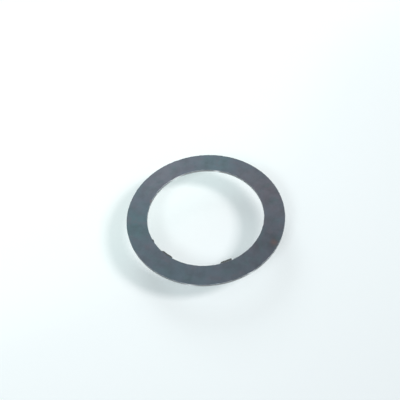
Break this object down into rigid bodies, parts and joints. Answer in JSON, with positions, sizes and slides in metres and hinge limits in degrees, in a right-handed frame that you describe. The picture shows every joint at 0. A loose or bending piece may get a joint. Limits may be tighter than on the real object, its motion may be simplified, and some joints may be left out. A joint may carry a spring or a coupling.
{
  "type": "shim ring",
  "caption": "Thin flat punched steel ring that slips over a shaft to take up end play between two faces, with a few short burrs left on its bore.",
  "frame": {"origin": "centre of the bore on the underside, the face that the ring rests on", "axes": "+Z along the bore, from the underside to the face with the burrs; +X and +Y lie in the underside"},
  "size_m": [0.03, 0.03, 0.0008],
  "materials": {
    "dark_steel": "dark blue-grey oxide on the faces, satin to matt, with bare metal showing on the cut edges"
  },
  "bodies": {
    "root": {"shim_ring": "dark_steel"}
  },
  "joints": []
}
